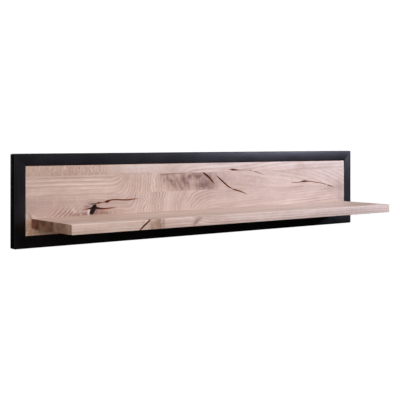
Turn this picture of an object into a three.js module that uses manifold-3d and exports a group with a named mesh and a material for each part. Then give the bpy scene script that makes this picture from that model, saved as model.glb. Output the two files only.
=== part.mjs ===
// Wall board of solid oak: a black lacquered mitred frame round a glued-up oak back panel, with an
// oak shelf standing out of the panel's lower part.
//
// Millimetres, +Z up, +X to the right, the wall on the +Y side. The origin is on the back face of
// the frame, at mid width, on the centre line of the top rail, where the two hangers are.

import * as THREE from "three";
import { mergeVertices } from "three/addons/utils/BufferGeometryUtils.js";
import Module from "manifold-3d";

// ---------- driving sizes ----------

// Frame
const FRAME_W = 1400; // over the stiles
const FRAME_H = 276; // over the rails
const FRAME_T = 27; // wall to front face
const RAIL = 35; // face width of the rails and the stiles
const CORNER_R = 4; // outer corners, seen from the front
const EASE = 1.6; // broken edges of the frame
const LIP_W = 12; // how far the rear lip reaches in behind the panel

// Back panel
const PANEL_T = 18;
const PANEL_SET_BACK = 1; // panel face behind frame face
const PANEL_GAP = 1.5; // shadow gap all round
const PANEL_TOP_STAVE = 31;
const PANEL_SECOND_STAVE = 59;
const PANEL_BOTTOM_STAVE = 48; // the stave above it takes what is left

// Shelf
const SHELF_D = 238; // out from the frame's face
const SHELF_T = 28;
const SHELF_TOP = 86; // above the frame's bottom edge
const SHELF_INSET = 20; // each end, in from the frame's opening
const SHELF_EASE = 1.5;
const SHELF_FRONT_STAVE = 36;
const SHELF_SECOND_STAVE = 66;
const SHELF_THIRD_STAVE = 84; // the rear stave takes what is left

// Clearance between two pieces that touch
const TOUCH = 0.3;

// Shelf joints, put in from behind the panel
const SHELF_SCREW = { r: 3, length: 60, headR: 5.8, headH: 3.4, sides: 16 };
const SHELF_SCREWS = 6;
const SHELF_SCREW_INSET = 60; // from the shelf's end to the first screw
const DOWEL_R = 4;
const DOWEL_L = 40;
const DOWEL_IN_PANEL = 12;
const DOWEL_CHAMFER = 1;
const DOWEL_SIDES = 16;

// Panel screws, through the rear lip
const LIP_SCREW = { r: 1.75, length: 18, headR: 3.4, headH: 2.1, sides: 12 };
const LIP_SCREWS_LONG = 4; // along the top lip, and along the bottom lip
const LIP_SCREW_INSET = 140; // from the frame's end to the first one

// Mitre biscuits
const BISCUIT_L = 31;
const BISCUIT_W = 16;
const BISCUIT_T = 3;

// Keyhole hangers, let into the back of the top rail
const HANGER_W = 60;
const HANGER_LAND = 3; // metal above and below the keyhole
const HANGER_T = 2;
const HANGER_R = 3; // corners
const HANGER_SINK = 0.2; // below the frame's back face
const HANGER_INSET = 200; // from the frame's end to the keyhole
const HANGER_SCREW_PITCH = 44;
const HANGER_SCREW = { r: 1.75, length: 16, headR: 3.4, headH: 1.9, sides: 12 };
const KEY_ENTRY_R = 5.2; // lets the wall screw's head in
const KEY_SLOT_R = 2.6; // half the slot's width
const KEY_RISE = 9; // entry centre to the centre of the slot's closed end
const WALL_HEAD_R = 4.75; // largest wall screw head
const POCKET_DEPTH = 12; // room for that head, from the frame's back face
const POCKET_SIDE = 1.5; // pocket wider than the keyhole's entry, each side
const POCKET_END = 0.35; // pocket longer than the head's travel, each end
const POCKET_R = 4; // corners

// ---------- worked out from them ----------

const LEFT = -FRAME_W / 2;
const OPENING_W = FRAME_W - 2 * RAIL;
const PANEL_W = OPENING_W - 2 * PANEL_GAP;
const PANEL_LOW = RAIL + PANEL_GAP;
const PANEL_HIGH = FRAME_H - RAIL - PANEL_GAP;
const PANEL_FACE = PANEL_SET_BACK - FRAME_T;
const PANEL_BACK = PANEL_FACE + PANEL_T;
const LIP_T = -PANEL_BACK - TOUCH;
const SHELF_L = OPENING_W - 2 * SHELF_INSET;
const SHELF_FRONT = -FRAME_T - SHELF_D;
const SHELF_BACK = PANEL_FACE - TOUCH;
const SHELF_LOW = SHELF_TOP - SHELF_T;
const SHELF_MID = SHELF_TOP - SHELF_T / 2;
const HANG_LINE = FRAME_H - RAIL / 2;
const HANGER_H = KEY_ENTRY_R + KEY_RISE + KEY_SLOT_R + 2 * HANGER_LAND;
const KEY_LOW = HANGER_LAND + KEY_ENTRY_R - HANGER_H / 2;
const KEY_HIGH = KEY_LOW + KEY_RISE;

// ---------- materials ----------

const paint = (color, roughness, metalness = 0) =>
  new THREE.MeshStandardMaterial({ color, roughness, metalness });

const LACQUER = paint(0x201f21, 0.42);
const OAK = paint(0xcfb3a4, 0.6);
const BEECH = paint(0xd9b98f, 0.7);
const ZINC = paint(0xb4b8bd, 0.35, 0.9);
const SCREW_STEEL = paint(0xc8b273, 0.35, 0.9);

// ---------- solids ----------

const wasm = await Module();
wasm.setup();

/** A closed geometry as a solid that can be joined and cut. */
function solid(geometry) {
  const bare = geometry.clone();
  bare.deleteAttribute("normal");
  bare.deleteAttribute("uv");
  const merged = mergeVertices(bare, 1e-4);
  return new wasm.Manifold(
    new wasm.Mesh({
      numProp: 3,
      vertProperties: merged.attributes.position.array,
      triVerts: new Uint32Array(merged.index.array),
    }),
  );
}

/** A solid back as a geometry. */
function geometryOf(body) {
  const mesh = body.getMesh();
  const geometry = new THREE.BufferGeometry();
  geometry.setAttribute("position", new THREE.BufferAttribute(mesh.vertProperties, 3));
  geometry.setIndex(new THREE.BufferAttribute(mesh.triVerts, 1));
  geometry.computeVertexNormals();
  return geometry;
}

const cutAll = (body, cutters) => cutters.reduce((left, cutter) => left.subtract(cutter), body);

/** A box between two corners. */
function box([x0, y0, z0], [x1, y1, z1]) {
  const geometry = new THREE.BoxGeometry(x1 - x0, y1 - y0, z1 - z0);
  return geometry.translate((x0 + x1) / 2, (y0 + y1) / 2, (z0 + z1) / 2);
}

/** An outline in X and Z, made thick from y = back forwards, to y = back - depth. */
function slab(shape, depth, back = 0, options = {}) {
  const geometry = new THREE.ExtrudeGeometry(shape, {
    depth,
    bevelEnabled: false,
    curveSegments: 6,
    ...options,
  });
  return geometry.rotateX(Math.PI / 2).translate(0, back, 0);
}

/** A profile of [radius, y] points from the lowest y to the highest, turned about the Y axis. */
function turned(profile, sides) {
  const points = profile.map(([radius, y]) => new THREE.Vector2(radius, y));
  return new THREE.LatheGeometry(points, sides);
}

/** A rectangle with round corners, as a shape or a hole. */
function roundedRect(path, x0, z0, x1, z1, r) {
  path.moveTo(x0 + r, z0);
  path.lineTo(x1 - r, z0);
  path.absarc(x1 - r, z0 + r, r, -Math.PI / 2, 0);
  path.lineTo(x1, z1 - r);
  path.absarc(x1 - r, z1 - r, r, 0, Math.PI / 2);
  path.lineTo(x0 + r, z1);
  path.absarc(x0 + r, z1 - r, r, Math.PI / 2, Math.PI);
  path.lineTo(x0, z0 + r);
  path.absarc(x0 + r, z0 + r, r, Math.PI, 1.5 * Math.PI);
  path.closePath();
  return path;
}

function polygon(path, corners) {
  path.setFromPoints(corners.map(([x, z]) => new THREE.Vector2(x, z)));
  path.closePath();
  return path;
}

const rectangle = (path, x0, z0, x1, z1) =>
  polygon(path, [
    [x0, z0],
    [x1, z0],
    [x1, z1],
    [x0, z1],
  ]);

/** Places spread evenly from the first to the last. */
const spread = (first, last, count) =>
  Array.from({ length: count }, (_, i) => first + ((last - first) * i) / (count - 1));

// ---------- fasteners ----------

const HEAD_RIM = 0.3; // straight edge of a countersunk head

/** A countersunk wood screw: its head's flat at y = 0, its tip towards -Y. */
function screw({ r, length, headR, headH, sides }) {
  const tip = 2.4 * r;
  const body = turned(
    [
      [0, -length],
      [r, tip - length],
      [r, -headH],
      [headR, -HEAD_RIM],
      [headR, 0],
      [0, 0],
    ],
    sides,
  );
  const arm = 0.55 * headR;
  const wing = 0.13 * headR;
  const cross = polygon(new THREE.Shape(), [
    [-arm, -wing],
    [-wing, -wing],
    [-wing, -arm],
    [wing, -arm],
    [wing, -wing],
    [arm, -wing],
    [arm, wing],
    [wing, wing],
    [wing, arm],
    [-wing, arm],
    [-wing, wing],
    [-arm, wing],
  ]);
  const drive = slab(cross, 1 + 0.6 * headH, 1);
  return geometryOf(solid(body).subtract(solid(drive)));
}

/** The countersunk hole that a screw sits in, open above its head. */
function screwHole({ r, length, headR, headH, sides }) {
  const beyondTip = 0.5;
  const above = 3;
  const coneDrop = TOUCH / 3;
  return turned(
    [
      [0, -length - beyondTip],
      [r + TOUCH, -length - beyondTip],
      [r + TOUCH, -headH - coneDrop],
      [headR + TOUCH, -HEAD_RIM - coneDrop],
      [headR + TOUCH, above],
      [0, above],
    ],
    sides,
  );
}

/** A grooveless dowel along Y, its rear end at y = 0. */
function dowel(r, length, chamfer) {
  return turned(
    [
      [0, -length],
      [r - chamfer, -length],
      [r, chamfer - length],
      [r, -chamfer],
      [r - chamfer, 0],
      [0, 0],
    ],
    DOWEL_SIDES,
  );
}

/** A lens-shaped biscuit lying in X and Z, its long axis along X, grown by a clearance. */
function biscuit(grow = 0) {
  const a = BISCUIT_L / 2 + grow;
  const b = BISCUIT_W / 2 + grow;
  const arcR = (a * a + b * b) / (2 * b);
  const half = Math.asin(a / arcR);
  const shape = new THREE.Shape();
  shape.absarc(0, b - arcR, arcR, Math.PI / 2 - half, Math.PI / 2 + half);
  shape.absarc(0, arcR - b, arcR, 1.5 * Math.PI - half, 1.5 * Math.PI + half);
  const depth = BISCUIT_T + 2 * grow;
  return slab(shape, depth, depth / 2);
}

// ---------- where the fasteners are ----------

const sign = { left: -1, right: 1 };

const corners = ["bottom_left", "bottom_right", "top_left", "top_right"].map((name) => {
  const right = name.endsWith("right");
  const top = name.startsWith("top");
  return {
    name,
    x: (right ? 1 : -1) * (FRAME_W / 2 - RAIL / 2),
    z: top ? FRAME_H - RAIL / 2 : RAIL / 2,
    turn: right === top ? Math.PI / 4 : -Math.PI / 4,
  };
});

const shelfScrewX = spread(
  SHELF_SCREW_INSET - SHELF_L / 2,
  SHELF_L / 2 - SHELF_SCREW_INSET,
  SHELF_SCREWS,
);
const dowelX = shelfScrewX.slice(1).map((x, i) => (x + shelfScrewX[i]) / 2);

const thirdStaveMid =
  (PANEL_LOW + PANEL_BOTTOM_STAVE + PANEL_HIGH - PANEL_TOP_STAVE - PANEL_SECOND_STAVE) / 2;

const lipX = spread(LEFT + LIP_SCREW_INSET, -LEFT - LIP_SCREW_INSET, LIP_SCREWS_LONG);
const lipReach = RAIL + LIP_W / 2;
const lipScrews = [
  ...lipX.map((x, i) => ({ name: `top_${i + 1}`, x, z: FRAME_H - lipReach })),
  ...lipX.map((x, i) => ({ name: `bottom_${i + 1}`, x, z: lipReach })),
  { name: "left", x: LEFT + lipReach, z: thirdStaveMid },
  { name: "right", x: -LEFT - lipReach, z: thirdStaveMid },
];

const hangers = Object.entries(sign).map(([side, s]) => ({
  side,
  x: s * (FRAME_W / 2 - HANGER_INSET),
  z: HANG_LINE,
}));
const hangerScrews = hangers.flatMap(({ side, x, z }) => [
  { name: `${side}_1`, x: x - HANGER_SCREW_PITCH / 2, z },
  { name: `${side}_2`, x: x + HANGER_SCREW_PITCH / 2, z },
]);

/** Holes at a list of places, for screws whose heads' flats are at y = head. */
const holesAt = (places, kind, head) =>
  places.map(({ x, z }) => solid(screwHole(kind).translate(x, head, z)));

const shelfScrewPlaces = shelfScrewX.map((x) => ({ x, z: SHELF_MID }));
const LIP_HEAD = -0.2;
const HANGER_HEAD = -HANGER_SINK - 0.05;
const dowelRear = PANEL_FACE + DOWEL_IN_PANEL;

const shelfScrewHoles = holesAt(shelfScrewPlaces, SHELF_SCREW, PANEL_BACK);
const lipScrewHoles = holesAt(lipScrews, LIP_SCREW, LIP_HEAD);
const hangerScrewHoles = holesAt(hangerScrews, HANGER_SCREW, HANGER_HEAD);
const dowelHoles = dowelX.map((x) =>
  solid(
    dowel(DOWEL_R + TOUCH, DOWEL_L + 2 * TOUCH, DOWEL_CHAMFER).translate(
      x,
      dowelRear + TOUCH,
      SHELF_MID,
    ),
  ),
);
const biscuitSlots = corners.map(({ x, z, turn }) =>
  solid(biscuit(TOUCH).rotateY(-turn).translate(x, -FRAME_T / 2, z)),
);

// ---------- hangers ----------

/** The keyhole's outline about its plate's centre. */
function keyhole(path) {
  const meet = Math.asin(KEY_SLOT_R / KEY_ENTRY_R);
  path.absarc(0, KEY_LOW, KEY_ENTRY_R, Math.PI / 2 + meet, 2.5 * Math.PI - meet);
  path.lineTo(KEY_SLOT_R, KEY_HIGH);
  path.absarc(0, KEY_HIGH, KEY_SLOT_R, 0, Math.PI);
  path.closePath();
  return path;
}

function hangerPlate() {
  const w = HANGER_W / 2;
  const h = HANGER_H / 2;
  const shape = roundedRect(new THREE.Shape(), -w, -h, w, h, HANGER_R);
  shape.holes.push(keyhole(new THREE.Path()));
  return slab(shape, HANGER_T, -HANGER_SINK);
}

/** What is cut from the top rail for one hanger: the plate's recess and the screw head's pocket. */
function hangerRecess({ x, z }) {
  const w = HANGER_W / 2 + TOUCH;
  const h = HANGER_H / 2 + TOUCH;
  const seat = roundedRect(new THREE.Shape(), -w, -h, w, h, HANGER_R);
  const seatDepth = HANGER_SINK + HANGER_T + TOUCH;
  const side = KEY_ENTRY_R + POCKET_SIDE;
  const low = KEY_LOW - KEY_ENTRY_R - POCKET_END;
  const high = KEY_HIGH + WALL_HEAD_R + POCKET_END;
  const pocket = roundedRect(new THREE.Shape(), -side, low, side, high, POCKET_R);
  const both = solid(slab(seat, seatDepth + 1, 1)).add(solid(slab(pocket, POCKET_DEPTH + 1, 1)));
  return both.translate([x, 0, z]);
}

const hangerRecesses = hangers.map(hangerRecess);

// ---------- frame ----------

/** The whole frame before it is cut at the mitres: an L section with a lip behind the panel. */
function frameRing() {
  const outer = roundedRect(new THREE.Shape(), LEFT, 0, -LEFT, FRAME_H, CORNER_R);
  outer.holes.push(rectangle(new THREE.Path(), LEFT + RAIL, RAIL, -LEFT - RAIL, FRAME_H - RAIL));
  const front = slab(outer, FRAME_T - 2 * EASE, -EASE, {
    bevelEnabled: true,
    bevelThickness: EASE,
    bevelSize: EASE,
    bevelOffset: -EASE,
    bevelSegments: 2,
  });
  const hidden = RAIL / 2;
  const reach = RAIL + LIP_W;
  const lip = rectangle(new THREE.Shape(), LEFT + hidden, hidden, -LEFT - hidden, FRAME_H - hidden);
  lip.holes.push(rectangle(new THREE.Path(), LEFT + reach, reach, -LEFT - reach, FRAME_H - reach));
  return solid(front).add(solid(slab(lip, LIP_T)));
}

/** The wedge of space that one side of the frame lies in, a clearance short of each mitre. */
function mitreWedge(side) {
  const g = TOUCH * Math.SQRT1_2;
  const d = RAIL + LIP_W + 5;
  const x = FRAME_W / 2;
  const outlines = {
    bottom: [
      [-x + g, 0],
      [x - g, 0],
      [x - d - g, d],
      [-x + d + g, d],
    ],
    top: [
      [-x + d + g, FRAME_H - d],
      [x - d - g, FRAME_H - d],
      [x - g, FRAME_H],
      [-x + g, FRAME_H],
    ],
    left: [
      [-x, g],
      [-x + d, d + g],
      [-x + d, FRAME_H - d - g],
      [-x, FRAME_H - g],
    ],
    right: [
      [x, FRAME_H - g],
      [x - d, FRAME_H - d - g],
      [x - d, d + g],
      [x, g],
    ],
  };
  const past = 1;
  return solid(slab(polygon(new THREE.Shape(), outlines[side]), FRAME_T + 2 * past, past));
}

const ring = frameRing();
const frameCuts = [...biscuitSlots, ...lipScrewHoles, ...hangerRecesses, ...hangerScrewHoles];

const frameSide = (side) => geometryOf(cutAll(ring.intersect(mitreWedge(side)), frameCuts));

// ---------- back panel ----------

/** Lower and upper edge of each stave of the panel, from the top one down. */
function panelStaves() {
  const edges = [
    PANEL_HIGH,
    PANEL_HIGH - PANEL_TOP_STAVE,
    PANEL_HIGH - PANEL_TOP_STAVE - PANEL_SECOND_STAVE,
    PANEL_LOW + PANEL_BOTTOM_STAVE,
    PANEL_LOW,
  ];
  return edges.slice(1).map((low, i) => [low + (i < 3 ? TOUCH : 0), edges[i]]);
}

function panelStave([low, high]) {
  const board = solid(box([-PANEL_W / 2, PANEL_FACE, low], [PANEL_W / 2, PANEL_BACK, high]));
  return geometryOf(cutAll(board, [...shelfScrewHoles, ...dowelHoles, ...lipScrewHoles]));
}

// ---------- shelf ----------

/** Front and back of each stave of the shelf, from the front one back. */
function shelfStaves() {
  const edges = [
    SHELF_FRONT,
    SHELF_FRONT + SHELF_FRONT_STAVE,
    SHELF_FRONT + SHELF_FRONT_STAVE + SHELF_SECOND_STAVE,
    SHELF_FRONT + SHELF_FRONT_STAVE + SHELF_SECOND_STAVE + SHELF_THIRD_STAVE,
    SHELF_BACK,
  ];
  return edges.slice(1).map((back, i) => [edges[i], back - (i < 3 ? TOUCH : 0)]);
}

/** A stave along X; the foremost one has its two front edges eased. */
function shelfStave([front, back], eased) {
  const r = eased ? SHELF_EASE : 0;
  const shape = new THREE.Shape();
  shape.moveTo(back, SHELF_LOW);
  shape.lineTo(back, SHELF_TOP);
  shape.lineTo(front + r, SHELF_TOP);
  if (eased) shape.absarc(front + r, SHELF_TOP - r, r, Math.PI / 2, Math.PI);
  shape.lineTo(front, SHELF_LOW + r);
  if (eased) shape.absarc(front + r, SHELF_LOW + r, r, Math.PI, 1.5 * Math.PI);
  shape.closePath();
  const geometry = new THREE.ExtrudeGeometry(shape, {
    depth: SHELF_L,
    bevelEnabled: false,
    curveSegments: 3,
  });
  const alongX = new THREE.Matrix4().makeBasis(
    new THREE.Vector3(0, 1, 0),
    new THREE.Vector3(0, 0, 1),
    new THREE.Vector3(1, 0, 0),
  );
  geometry.applyMatrix4(alongX).translate(-SHELF_L / 2, 0, 0);
  return geometryOf(cutAll(solid(geometry), [...shelfScrewHoles, ...dowelHoles]));
}

// ---------- assembly ----------

const board = new THREE.Group();
board.position.z = -HANG_LINE;

/** Adds one piece to the board, by name, at a place. */
function add(name, geometry, material, x = 0, y = 0, z = 0) {
  const piece = new THREE.Mesh(geometry, material);
  piece.name = name;
  piece.position.set(x, y, z);
  board.add(piece);
  return piece;
}

add("frame_top_rail", frameSide("top"), LACQUER);
add("frame_bottom_rail", frameSide("bottom"), LACQUER);
add("frame_left_stile", frameSide("left"), LACQUER);
add("frame_right_stile", frameSide("right"), LACQUER);
corners.forEach(({ name, x, z, turn }) => {
  add(`mitre_biscuit_${name}`, biscuit(), BEECH, x, -FRAME_T / 2, z).rotation.y = -turn;
});

panelStaves().forEach((edges, i) => add(`panel_stave_${i + 1}`, panelStave(edges), OAK));
lipScrews.forEach(({ name, x, z }) => {
  add(`panel_screw_${name}`, screw(LIP_SCREW), SCREW_STEEL, x, LIP_HEAD, z);
});

shelfStaves().forEach((edges, i) => add(`shelf_stave_${i + 1}`, shelfStave(edges, i === 0), OAK));
shelfScrewX.forEach((x, i) => {
  add(`shelf_screw_${i + 1}`, screw(SHELF_SCREW), SCREW_STEEL, x, PANEL_BACK, SHELF_MID);
});
dowelX.forEach((x, i) => {
  const pin = dowel(DOWEL_R, DOWEL_L, DOWEL_CHAMFER);
  add(`shelf_dowel_${i + 1}`, pin, BEECH, x, dowelRear, SHELF_MID);
});

hangers.forEach(({ side, x, z }) => {
  const holes = holesAt(
    [
      { x: -HANGER_SCREW_PITCH / 2, z: 0 },
      { x: HANGER_SCREW_PITCH / 2, z: 0 },
    ],
    HANGER_SCREW,
    HANGER_HEAD,
  );
  const plate = geometryOf(cutAll(solid(hangerPlate()), holes));
  add(`hanger_plate_${side}`, plate, ZINC, x, 0, z);
});
hangerScrews.forEach(({ name, x, z }) => {
  add(`hanger_screw_${name}`, screw(HANGER_SCREW), SCREW_STEEL, x, HANGER_HEAD, z);
});

const part = new THREE.Group();
part.name = "wall_board_with_shelf";
part.add(board);

export default part;
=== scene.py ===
"""Wall board with an oak shelf: the finished look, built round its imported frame."""

import math

import bpy
from bpy.props import FloatProperty, FloatVectorProperty, PointerProperty
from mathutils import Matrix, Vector


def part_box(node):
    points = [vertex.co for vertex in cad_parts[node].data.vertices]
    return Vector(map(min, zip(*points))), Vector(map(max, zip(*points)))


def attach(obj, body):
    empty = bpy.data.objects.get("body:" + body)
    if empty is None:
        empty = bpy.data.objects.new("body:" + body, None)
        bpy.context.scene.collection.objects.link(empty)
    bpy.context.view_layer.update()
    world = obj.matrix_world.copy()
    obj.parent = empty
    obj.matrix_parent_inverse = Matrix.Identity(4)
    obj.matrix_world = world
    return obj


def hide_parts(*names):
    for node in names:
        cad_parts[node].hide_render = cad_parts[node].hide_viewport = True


bl_info = {
    "name": "Wall Board with Shelf",
    "version": (1, 0, 0),
    "blender": (4, 5, 0),
    "location": "3D View > Sidebar > Wall Board",
    "description": "Builds a black framed oak wall board with a shelf",
    "category": "Add Mesh",
}

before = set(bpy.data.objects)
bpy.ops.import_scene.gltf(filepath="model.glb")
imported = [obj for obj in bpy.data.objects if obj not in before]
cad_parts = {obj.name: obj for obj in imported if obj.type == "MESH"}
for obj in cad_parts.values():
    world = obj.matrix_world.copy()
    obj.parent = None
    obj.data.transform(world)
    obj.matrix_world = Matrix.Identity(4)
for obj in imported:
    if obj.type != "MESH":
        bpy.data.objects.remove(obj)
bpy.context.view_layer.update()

MM = 0.001
ROOT = "root"
SIDES = ("top_rail", "bottom_rail", "left_stile", "right_stile")

# The whole frame's box, and the boxes that everything else is placed by
FRAME_LOW = Vector([min(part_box(f"frame_{s}")[0][k] for s in SIDES) for k in range(3)])
FRAME_HIGH = Vector([max(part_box(f"frame_{s}")[1][k] for s in SIDES) for k in range(3)])
PANEL_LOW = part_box("panel_stave_4")[0]
PANEL_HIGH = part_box("panel_stave_1")[1]
SHELF_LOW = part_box("shelf_stave_1")[0]

# The face of the frame's rear lip, just clear of the panel's back
LIP_FRONT = PANEL_HIGH.y + 0.3 * MM

# Places on the boards are given in millimetres from the middle, and up from the frame's lower edge.
BOARD_FLOOR = FRAME_LOW.z / MM

# Hairline left open between glued staves, and how near two places are to be the same
HAIRLINE = 0.02 * MM
SAME = 1e-6

# Screws: straight rim of a head, its slack in the wood, shank radii, and the holes round them
HEAD_RIM = 0.3 * MM
HEAD_SLACK = 0.15 * MM
SHANKS = {"shelf_screw": 3.0 * MM, "panel_screw": 1.75 * MM, "hanger_screw": 1.75 * MM}
SHANK_HOLES = {"shelf_screw": 3.3 * MM, "panel_screw": 2.05 * MM, "hanger_screw": 1.9 * MM}
SHELF_SCREW_BORE = 3.1 * MM
HOLE_DEPTHS = {"shelf_screw": 22 * MM, "panel_screw": 12 * MM, "hanger_screw": 6 * MM}
HANGER_SCREW_REACH = 17 * MM
BORE_END = 0.3 * MM
DOWEL_SLACK = 0.1 * MM

# Keyhole hangers: radii of the entry and the slot, their centres from the plate's middle, the
# plate's corners, and the pocket behind the keyhole (half width, depth, inset below and above)
KEY_ENTRY, KEY_SLOT = 5.2 * MM, 2.6 * MM
KEY_LOW, KEY_HIGH = -3.2 * MM, 5.8 * MM
PLATE_CORNER = 3 * MM
PLATE_EASE = 0.2 * MM
POCKET_HALF, POCKET_DEPTH = 6.7 * MM, 12 * MM
POCKET_FOOT, POCKET_HEAD = 2.65 * MM, 0.5 * MM
POCKET_CORNER = 4 * MM

# A biscuit's slot along its mitre, across it, and its slack in thickness
BISCUIT_SLOT = (31.6 * MM, 16.6 * MM)
BISCUIT_SLACK = 0.4 * MM


# ---------------------------------------------------------------- sizes and colours


def size_prop(name, description, default):
    return FloatProperty(name=name, description=description, default=default, unit="LENGTH")


def colour_prop(name, description, default):
    return FloatVectorProperty(
        name=name, description=description, default=default, subtype="COLOR", size=3, min=0, max=1
    )


class BoardSizes(bpy.types.PropertyGroup):
    """Sizes that the frame's boxes don't give, in metres"""

    rail: size_prop("Rail", "Face width of rails and stiles", 0.035)
    lip: size_prop("Lip", "Reach of the rear lip behind the panel", 0.012)
    corner: size_prop("Corner", "Radius of the frame's outer corners", 0.004)
    frame_ease: size_prop("Frame Ease", "Broken edges of the frame", 0.0016)
    board_ease: size_prop("Board Ease", "Broken outer edges of the shelf", 0.0012)
    panel_ease: size_prop("Panel Ease", "Broken outer edges of the back panel", 0.00072)
    joint_ease: size_prop("Joint Ease", "Broken edges along a glue line", 0.00012)
    mitre_gap: size_prop("Mitre Gap", "Hairline left at each mitre", 0.00016)
    plate_seat: size_prop("Plate Seat", "Clearance round a hanger plate", 0.0003)


class BoardColours(bpy.types.PropertyGroup):
    """Colours of the finishes, linear"""

    oak_light: colour_prop("Oak Light", "Pale wood between the ring lines", (0.81, 0.655, 0.58))
    oak_dark: colour_prop("Oak Dark", "Ring lines and pores", (0.43, 0.262, 0.198))
    heart: colour_prop("Heart", "Mauve heartwood", (0.25, 0.128, 0.106))
    # Darker tan wood, which also paints shade beside and under the shelf's end and over the left of its top
    tan: colour_prop("Tan", "Darker tan wood", (0.46, 0.28, 0.195))
    rose: colour_prop("Rose", "Smooth pinkish wood", (0.50, 0.35, 0.31))
    rust: colour_prop("Rust", "Orange brown beside knots", (0.25, 0.115, 0.07))
    # Pale wood, which also paints a highlight on the knot's left rim
    pale_and_painted_highlight: colour_prop("Pale", "Pale wood beside knots", (0.84, 0.72, 0.68))
    crack_lip: colour_prop("Crack Lip", "Brown wood just inside a crack", (0.29, 0.098, 0.040))
    # Near-black, painted shade at the bottom of deep splits, also used inside the knot
    crack: colour_prop("Crack", "Bottom of cracks and knots", (0.018, 0.005, 0.003))
    end_light: colour_prop("End Light", "Pale end grain", (0.50, 0.285, 0.20))
    end_dark: colour_prop("End Dark", "Dark end grain", (0.19, 0.078, 0.044))
    lacquer: colour_prop("Lacquer", "Black lacquer", (0.0032, 0.003, 0.0036))
    zinc: colour_prop("Zinc", "Plated hanger", (0.27, 0.28, 0.30))
    zinc_dull: colour_prop("Zinc Dull", "Mottling of the hanger", (0.18, 0.19, 0.21))
    steel: colour_prop("Steel", "Yellow plated screws", (0.50, 0.39, 0.19))
    steel_dull: colour_prop("Steel Dull", "Mottling of the screws", (0.40, 0.35, 0.26))
    beech: colour_prop("Beech", "Pale beech", (0.62, 0.42, 0.25))
    beech_dark: colour_prop("Beech Dark", "Darker fibres of beech", (0.48, 0.30, 0.165))
    beech_fleck: colour_prop("Beech Fleck", "Flecks of beech", (0.34, 0.19, 0.10))


def sizes():
    return bpy.context.scene.wall_board_sizes


def colour_of(name):
    """One finish colour as plain numbers."""
    return tuple(getattr(bpy.context.scene.wall_board_colours, name))


def packed(*prefixes):
    """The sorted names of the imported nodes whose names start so."""
    names = sorted(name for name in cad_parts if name.startswith(prefixes))
    if not names:
        raise RuntimeError(f"the frame has no node whose name starts with {prefixes}")
    return names


# ---------------------------------------------------------------- node building


class Net:
    """Short words for making and linking shader nodes in one tree."""

    def __init__(self, tree):
        self.tree = tree

    def node(self, kind, **settings):
        made = self.tree.nodes.new(kind)
        for key, value in settings.items():
            setattr(made, key, value)
        return made

    def feed(self, socket, value):
        if isinstance(value, bpy.types.NodeSocket):
            self.tree.links.new(value, socket)
        elif socket.type == "RGBA" and len(value) == 3:
            socket.default_value = (*value, 1.0)
        else:
            socket.default_value = value

    def math(self, operation, *values, clamp=False):
        made = self.node("ShaderNodeMath", operation=operation, use_clamp=clamp)
        for socket, value in zip(made.inputs, values):
            self.feed(socket, value)
        return made.outputs[0]

    def add(self, a, b):
        return self.math("ADD", a, b)

    def less(self, a, b):
        return self.math("SUBTRACT", a, b)

    def times(self, a, b):
        return self.math("MULTIPLY", a, b)

    def step(self, value, low, high, to_low=0.0, to_high=1.0):
        """A smooth rise from to_low at low to to_high at high."""
        made = self.node("ShaderNodeMapRange", interpolation_type="SMOOTHSTEP")
        for socket, given in zip(made.inputs, (value, low, high, to_low, to_high)):
            self.feed(socket, given)
        return made.outputs[0]

    def mix(self, factor, a, b, blend="MIX"):
        made = self.node("ShaderNodeMix", data_type="RGBA", blend_type=blend)
        self.feed(made.inputs[0], factor)
        self.feed(made.inputs[6], a)
        self.feed(made.inputs[7], b)
        return made.outputs[2]

    def mix_value(self, factor, a, b):
        made = self.node("ShaderNodeMix", data_type="FLOAT")
        for socket, value in zip(made.inputs[:1] + made.inputs[2:4], (factor, a, b)):
            self.feed(socket, value)
        return made.outputs[0]

    def split(self, vector):
        made = self.node("ShaderNodeSeparateXYZ")
        self.feed(made.inputs[0], vector)
        return made.outputs

    def join(self, x, y, z):
        made = self.node("ShaderNodeCombineXYZ")
        for socket, value in zip(made.inputs, (x, y, z)):
            self.feed(socket, value)
        return made.outputs[0]

    def scaled(self, vector, factors):
        made = self.node("ShaderNodeMapping", vector_type="POINT")
        self.feed(made.inputs["Vector"], vector)
        made.inputs["Scale"].default_value = factors
        return made.outputs[0]

    def noise(self, vector, scale, detail=2.0, roughness=0.5, colour=False):
        made = self.node("ShaderNodeTexNoise")
        self.feed(made.inputs["Vector"], vector)
        made.inputs["Scale"].default_value = scale
        made.inputs["Detail"].default_value = detail
        made.inputs["Roughness"].default_value = roughness
        return made.outputs["Color" if colour else "Fac"]

    def group(self, tree, **values):
        made = self.node("ShaderNodeGroup", node_tree=tree)
        for key, value in values.items():
            self.feed(made.inputs[key.replace("_", " ").title()], value)
        return made.outputs

    def object_mm(self):
        """Object coordinates in millimetres."""
        place = self.node("ShaderNodeTexCoord").outputs["Object"]
        return self.scaled(place, (1000, 1000, 1000))


SOCKETS = {"value": "NodeSocketFloat", "colour": "NodeSocketColor", "vector": "NodeSocketVector"}


def new_group(name, inputs, outputs):
    """A node group with named sockets; returns its tree, its net, its inputs and its output node."""
    tree = bpy.data.node_groups.new(name, "ShaderNodeTree")
    for label, kind in inputs:
        tree.interface.new_socket(label, in_out="INPUT", socket_type=SOCKETS[kind])
    for label, kind in outputs:
        tree.interface.new_socket(label, in_out="OUTPUT", socket_type=SOCKETS[kind])
    net = Net(tree)
    source = net.node("NodeGroupInput").outputs
    sink = net.node("NodeGroupOutput").inputs
    return tree, net, source, sink


def new_material(name):
    """A material's net and its Principled node."""
    made = bpy.data.materials.new(name)
    made.use_nodes = True
    made.node_tree.nodes.clear()
    net = Net(made.node_tree)
    surface = net.node("ShaderNodeBsdfPrincipled")
    output = net.node("ShaderNodeOutputMaterial")
    made.node_tree.links.new(surface.outputs[0], output.inputs["Surface"])
    return made, net, surface


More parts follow.
